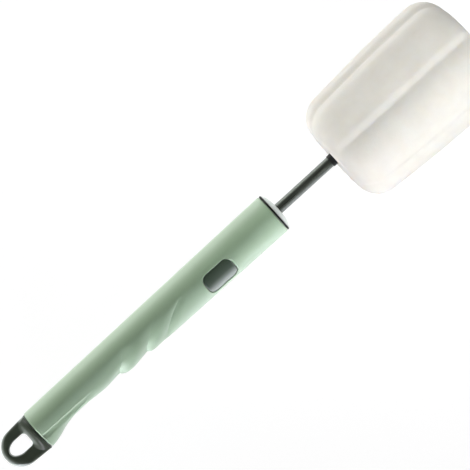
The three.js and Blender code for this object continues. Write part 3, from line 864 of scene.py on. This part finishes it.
# Hanging loop: a skin between the outer outline and the hole, whose height is drawn from the
# flat of the loop into the round of the tail
def loop_outer():
    """Outline as (x, y, whether at the joint) points, along the joint and round the loop."""
    end_x = -LOOP_LENGTH + LOOP_END
    joint = -LOOP_GAP
    points = []
    for k in range(LOOP_SIDE_STEPS + 1):
        t = k / LOOP_SIDE_STEPS
        points.append((joint, LOOP_OFFSET + LOOP_HALF * (2 * t - 1), True))
    flank = []
    for k in range(1, LOOP_SIDE_STEPS + 1):
        t = k / LOOP_SIDE_STEPS
        flank.append((joint + (end_x - joint) * t, LOOP_HALF + (LOOP_END - LOOP_HALF) * t))
    points += [(x, LOOP_OFFSET + y, False) for x, y in flank]
    for k in range(1, LOOP_END_STEPS):
        a = math.pi / 2 + math.pi * k / LOOP_END_STEPS
        x = end_x + LOOP_END * math.cos(a)
        points.append((x, LOOP_OFFSET + LOOP_END * math.sin(a), False))
    points += [(x, LOOP_OFFSET - y, False) for x, y in reversed(flank)]
    return points


def in_hole(x, y):
    """Whether a point, given from the hole's middle, lies in it: an oval end, rounded corners."""
    half = HOLE_WIDTH / 2
    front = HOLE_LENGTH / 2
    end = HOLE_END - front
    y = abs(y)
    if x < end:
        return ((x - end) / HOLE_END) ** 2 + (y / half) ** 2 <= 1
    if y > half or x > front:
        return False
    past_x = x - front + HOLE_CORNER
    past_y = y - half + HOLE_CORNER
    return past_x <= 0 or past_y <= 0 or past_x ** 2 + past_y ** 2 <= HOLE_CORNER ** 2


def hole_reach(angle):
    """Distance from the hole's middle to its edge along a direction."""
    c = math.cos(angle)
    s = math.sin(angle)
    low = 0.0
    high = HOLE_MOST
    for _ in range(HALVINGS):
        mid = (low + high) / 2
        if in_hole(mid * c, mid * s):
            low = mid
        else:
            high = mid
    return low


TAIL_SECTION = sorted(skin_point(0, a)[1:] for a in range(0, 181, TAIL_TURN))


def tail_height(y):
    """Half the height of the grip's tail at a place across it."""
    if y <= TAIL_SECTION[0][0] or y >= TAIL_SECTION[-1][0]:
        return 0.0
    k = next(i for i in range(len(TAIL_SECTION) - 1) if y < TAIL_SECTION[i + 1][0])
    (y0, z0), (y1, z1) = TAIL_SECTION[k], TAIL_SECTION[k + 1]
    return z0 + (z1 - z0) * (y - y0) / (y1 - y0)


def loop_height(x, y):
    full = 1 - smooth((-LOOP_GAP - NECK_COLLAR - x) / (NECK - NECK_COLLAR))
    flat = LOOP_THICK / 2
    return max(flat, math.hypot(flat * (1 - full), tail_height(y) * full))


def rounding(distance, radius):
    """Drop of a rounded edge at a distance from it."""
    if distance >= radius:
        return 0.0
    return radius - math.sqrt(max(0.0, radius ** 2 - (radius - distance) ** 2))


def build_loop():
    middle_x = -HOLE_TO_JOINT - HOLE_LENGTH / 2
    middle_y = LOOP_OFFSET + HOLE_SHIFT
    spokes = []
    for x0, y0, at_joint in loop_outer():
        angle = math.atan2(y0 - middle_y, x0 - middle_x)
        r = hole_reach(angle)
        x1 = middle_x + r * math.cos(angle)
        y1 = middle_y + r * math.sin(angle)
        far = smooth((-END_EDGE_FROM - x0) / END_EDGE_RUN)
        edge = JOINT_EDGE if at_joint else NECK_EDGE + (END_EDGE - NECK_EDGE) * far
        spokes.append((x0, y0, x1, y1, edge))
    top = []
    for share in LOOP_SHARES:
        row = []
        for x0, y0, x1, y1, edge in spokes:
            x = x0 + (x1 - x0) * share
            y = y0 + (y1 - y0) * share
            length = math.hypot(x1 - x0, y1 - y0)
            z = loop_height(x, y) - rounding(share * length, edge)
            row.append((x, y, z - rounding((1 - share) * length, HOLE_EDGE)))
        top.append(row)
    bottom = [[(x, y, -z) for x, y, z in row] for row in reversed(top)]
    skin = grid(top + bottom, wrap_rows=True)
    piece("hang_loop", skin, dark, "handle", "hang_loop_cap", LOOP_SHARP)


def build_spigot():
    r = SOCKET_RADIUS - GAP
    end = SOCKET_DEPTH - SPIGOT_CLEAR
    profile = [
        (0, -LOOP_GAP),
        (r, -LOOP_GAP),
        (r, end - SPIGOT_EDGE),
        (r - SPIGOT_EDGE, end),
        (0, end),
    ]
    piece("loop_spigot", lathe(profile), dark, "handle")


def build_front_cap():
    hole = ROD_RADIUS + GAP
    spigot = FRONT_BORE - GAP
    top = DOME_START + DOME_HEIGHT
    profile = [(hole, top - DOME_LIP), (hole + DOME_LIP_CUT, top - DOME_LIP_CUT)]
    for k in range(DOME_STEPS + 1):
        share = k / DOME_STEPS
        r = hole + DOME_LIP + (DOME_RADIUS - DOME_EDGE - hole - DOME_LIP) * share
        profile.append((r, DOME_START + DOME_HEIGHT * (1 - share ** DOME_POWER)))
    profile += [
        (DOME_RADIUS, DOME_START - DOME_DROP),
        (DOME_RADIUS, FLANGE_START + DOME_EDGE),
        (DOME_RADIUS - DOME_EDGE, FLANGE_START),
        (spigot, FLANGE_START),
        (spigot, CAP_END),
        (CAP_POCKET, CAP_END),
        (CAP_POCKET, CAP_POCKET_END),
        (hole, CAP_POCKET_END),
    ]
    piece("front_dome", lathe(profile, FINE_SIDES), pale, "handle", "front_cap")


def build_cap_ring():
    inner_radius = FRONT_BORE - GAP + RING_FIT
    profile = [
        (inner_radius, RING_START),
        (RING_RADIUS - RING_ROUND, RING_START),
        (RING_RADIUS, RING_START + RING_ROUND),
        (RING_RADIUS, RING_END - RING_ROUND),
        (RING_RADIUS - RING_ROUND, RING_END),
        (inner_radius, RING_END),
    ]
    piece("front_ring", lathe(profile, FINE_SIDES), black, "handle", "cap_ring")


def build_rod():
    bore = ROD_RADIUS - ROD_WALL
    profile = [
        (ROD_RADIUS - ROD_EDGE, ROD_TAIL),
        (ROD_RADIUS, ROD_TAIL + ROD_EDGE),
        (ROD_RADIUS, ROD_END - ROD_EDGE),
        (ROD_RADIUS - ROD_EDGE, ROD_END),
        (bore, ROD_END),
        (bore, ROD_TAIL),
    ]
    piece("rod", lathe(profile), rod_steel, "rod", "rod_tube")


def build_spindle():
    bore = ROD_RADIUS + CORE_FIT
    stem = bore + CORE_WALL
    end = FOAM_BASE + CORE_LENGTH
    profile = [
        (bore, COLLAR_START),
        (bore + COLLAR_EDGE, COLLAR_START),
        (bore + 2 * COLLAR_EDGE, COLLAR_START + COLLAR_EDGE),
        (COLLAR_RADIUS, FOAM_BASE),
        (COLLAR_RADIUS, FOAM_BASE + COLLAR_DEPTH),
        (stem, FOAM_BASE + COLLAR_DEPTH),
    ]
    for k in range(BARBS):
        x = FOAM_BASE + BARB_START + BARB_PITCH * k
        profile += [
            (stem, x),
            (stem + BARB_HEIGHT, x),
            (stem + BARB_HEIGHT, x + BARB_FLAT),
            (stem, x + BARB_LENGTH),
        ]
    profile += [
        (stem, end - CORE_TAPER),
        (CORE_TIP_SHARE * stem, end - CORE_TIP),
        (0, end),
        (0, ROD_END + GAP),
        (bore, ROD_END + GAP),
    ]
    piece("head_spindle", lathe(profile, CORE_SIDES), black, "rod", "head_core")


# Foam head
def foam_radius(s):
    """Radius at a distance from the foam's base, round at the shoulder and the tip."""
    body = FOAM_BASE_RADIUS
    body += (FOAM_TOP_RADIUS - FOAM_BASE_RADIUS) * math.sin(math.pi / 2 * clamp(s / FOAM_WIDE_AT))
    shoulder = clamp((FOAM_SHOULDER - s) / FOAM_SHOULDER)
    tip = clamp((s - (FOAM_LENGTH - FOAM_TIP)) / FOAM_TIP)
    body -= FOAM_SHOULDER * (1 - math.sqrt(1 - shoulder ** 2))
    return body - FOAM_TIP * (1 - math.sqrt(1 - tip ** 2))


def lobe_section(angle):
    """Share of the radius at an angle from a groove's bottom, steep wall on the low side."""
    pitch = 360 / LOBES
    off = angle - pitch * math.floor(angle / pitch)
    if off > pitch - GROOVE_STEEP:
        return 1 - LOBE_CROWN - GROOVE_DEPTH * (off - pitch + GROOVE_STEEP) / GROOVE_STEEP
    if off < GROOVE_LONG:
        return 1 - LOBE_CROWN - GROOVE_DEPTH * (1 - off / GROOVE_LONG)
    span = pitch - GROOVE_LONG - GROOVE_STEEP
    across = 2 * (off - GROOVE_LONG) / span - 1
    return 1 - LOBE_CROWN * across ** 2


def soft_section(angle):
    """Section with its lips and the bottoms of its grooves rounded over."""
    steps = range(-LIP_SAMPLES, LIP_SAMPLES + 1)
    near = [lobe_section(angle + LIP_SOFT * k / LIP_SAMPLES) for k in steps]
    return sum(near) / len(near)


def foam_point(s, angle):
    r = foam_radius(s) * soft_section(angle)
    a = math.radians(angle + FOAM_TURN)
    return (FOAM_BASE + s, FOAM_OFFSET - r * math.sin(a), r * math.cos(a))


def drawn_in(row, s, radius, share=1.0):
    """Copy of a row at another place, drawn toward a circle about the brush's axis."""
    ring = []
    for x, y, z in row:
        r = math.hypot(y, z)
        k = (r + (radius - r) * share) / r
        ring.append((FOAM_BASE + s, y * k, z * k))
    return ring


def foam_stations():
    turns = [math.radians(90 * k / SHOULDER_STEPS) for k in range(SHOULDER_STEPS + 1)]
    stations = [FOAM_SHOULDER * (1 - math.cos(a)) for a in turns]
    body_end = FOAM_LENGTH - FOAM_TIP
    run = body_end - FOAM_SHOULDER
    stations += [FOAM_SHOULDER + run * k / BODY_STEPS for k in range(1, BODY_STEPS + 1)]
    turns = [math.radians(90 * k / TIP_STEPS) for k in range(1, TIP_STEPS + 1)]
    return stations + [body_end + FOAM_TIP * math.sin(a) for a in turns]


def build_foam():
    count = LOBES * LOBE_STEPS
    angles = [360 * k / count for k in range(count)]
    rows = [[foam_point(s, a) for a in angles] for s in foam_stations()]
    # Flat base and the bore for the spindle
    base = rows[0]
    mouth = COLLAR_RADIUS + GAP
    bore_end = CORE_LENGTH + GAP
    for share in BASE_SHARES:
        rows.insert(0, drawn_in(base, 0.0, mouth + MOUTH_EDGE, share))
    for r, s in (
        (mouth + MOUTH_EDGE, 0.0),
        (mouth, MOUTH_EDGE),
        (mouth, MOUTH_DEPTH),
        (FOAM_BORE, MOUTH_DEPTH),
        (FOAM_BORE, bore_end),
    ):
        rows.insert(0, drawn_in(base, s, r))
    # Flat of the tip
    tip = rows[-1]
    for share in TIP_SHARES:
        k = 1 - share
        rows.append([(x, FOAM_OFFSET + (y - FOAM_OFFSET) * k, z * k) for x, y, z in tip])
    verts, faces = grid(rows)
    tip_middle = (FOAM_BASE + FOAM_LENGTH, FOAM_OFFSET, 0)
    add_cap(verts, faces, (len(rows) - 1) * count, count, tip_middle)
    add_cap(verts, faces, 0, count, (FOAM_BASE + bore_end, 0, 0))
    head = piece("foam_head", (verts, faces), foam, "rod", "sponge_head", FOAM_SHARP)


build_grip()
build_button()
build_spring()
build_loop()
build_spigot()
build_front_cap()
build_cap_ring()
build_rod()
build_spindle()
build_foam()

# Pieces of the lock that keep their solids
for node, material in (
    ("rod_bush", inner),
    ("lock_carrier", inner),
    ("lock_yoke", inner),
    ("brake_shoe", rubber),
    ("rod_end_stop", inner),
    ("stop_pin", rod_steel),
):
    mesh = frame["nodes"][node].data
    mesh.materials.clear()
    mesh.materials.append(material)


# Stage
def shown_ray(tree):
    """One for rays from the camera, a reflection or a see-through surface, otherwise none."""
    path = add(tree, "LightPath")
    total = path.outputs["Is Camera Ray"]
    for kind in ("Is Glossy Ray", "Is Transmission Ray"):
        more = add(tree, "Math")
        more.operation = "MAXIMUM"
        tree.links.new(total, more.inputs[0])
        tree.links.new(path.outputs[kind], more.inputs[1])
        total = more.outputs[0]
    return total


def build_floor():
    """Floor that is seen as white with a faint shadow, and lights the brush as a pale board."""
    mesh = bpy.data.meshes.new("floor")
    h = FLOOR_HALF
    mesh.from_pydata([(-h, -h, 0), (h, -h, 0), (h, h, 0), (-h, h, 0)], [], [(0, 1, 2, 3)])
    mat = bpy.data.materials.new("floor")
    mat.use_nodes = True
    tree = mat.node_tree
    tree.nodes.clear()
    out = add(tree, "OutputMaterial")
    plain = add(tree, "BsdfDiffuse", Color=FLOOR_COLOUR)
    shade = add(tree, "BsdfDiffuse", Color=FLOOR_SHADE)
    glow = add(tree, "Emission", Strength=FLOOR_GLOW)
    both = add(tree, "AddShader")
    tree.links.new(shade.outputs[0], both.inputs[0])
    tree.links.new(glow.outputs[0], both.inputs[1])
    blend(tree, shown_ray(tree), plain, both, out)
    mesh.materials.append(mat)
    floor = link(bpy.data.objects.new("floor", mesh))


def build_world():
    """White round about, but only a weak light that fades toward the top."""
    world = bpy.data.worlds.new("studio")
    bpy.context.scene.world = world
    world.use_nodes = True
    tree = world.node_tree
    tree.nodes.clear()
    out = add(tree, "OutputWorld")
    split = add(tree, "SeparateXYZ")
    tree.links.new(add(tree, "TexCoord").outputs["Generated"], split.inputs[0])
    fade = map_range(tree, split.outputs["Z"], 0.0, 1.0, SKY_LIGHT, 0.0)
    sky = add(tree, "Background", Color=(*WHITE, 1))
    tree.links.new(fade.outputs["Result"], sky.inputs["Strength"])
    white = add(tree, "Background", Color=(*WHITE, 1), Strength=1.0)
    blend(tree, shown_ray(tree), sky, white, out)


def lamp(name, place, target, size, radiance, beam=180, colour=WHITE):
    """Soft box given in the brush's own millimetres; radiance is its brightness."""
    data = bpy.data.lights.new(name, "AREA")
    data.shape = "RECTANGLE"
    data.size = size[0] / 1000
    data.size_y = size[1] / 1000
    data.energy = radiance * math.pi * data.size * data.size_y
    data.color = colour
    data.spread = math.radians(beam)
    obj = link(bpy.data.objects.new(name, data))
    at = MM @ Vector(place)
    obj.location = at
    obj.rotation_euler = (MM @ Vector(target) - at).to_track_quat("-Z", "Y").to_euler()


def build_camera():
    """Camera square over the brush, which lies aslant in the picture."""
    data = bpy.data.cameras.new("camera")
    data.sensor_width = CAMERA_SENSOR
    data.sensor_fit = "HORIZONTAL"
    data.lens = CAMERA_SENSOR * CAMERA_DISTANCE / PICTURE_WIDTH
    data.clip_end = CAMERA_CLIP
    cam = link(bpy.data.objects.new("camera", data))
    lean = math.radians(CAMERA_LEAN)
    right = axis * math.cos(lean) - side * math.sin(lean)
    up = axis * math.sin(lean) + side * math.cos(lean)
    basis = Matrix((right, up, face)).transposed().to_4x4()
    centre = MM @ Vector(PICTURE_CENTRE)
    cam.matrix_world = Matrix.Translation(centre + face * CAMERA_DISTANCE) @ basis
    bpy.context.scene.camera = cam


build_floor()
build_world()
lamp("key", (-540, -60, 250), (80, 0, 0), size=(300, 300), radiance=6.0)
lamp("side", (-250, -260, 45), (40, 0, 0), size=(150, 80), radiance=1.5, beam=26, colour=COOL)
lamp("edge", (120, -250, 10), (148, 0, 0), size=(100, 80), radiance=0.72, beam=33, colour=COOL)
lamp("fill", (40, 640, 15), (100, 0, 0), size=(500, 150), radiance=17.5)
lamp("head", (352, -292, 320), (256, 0, 0), size=(160, 160), radiance=1.44, beam=40, colour=CLEAR)
lamp("tip", (590, 270, 150), (286, 12, 5), size=(160, 160), radiance=0.34, beam=50)
build_camera()

bpy.context.scene.view_settings.view_transform = "Standard"
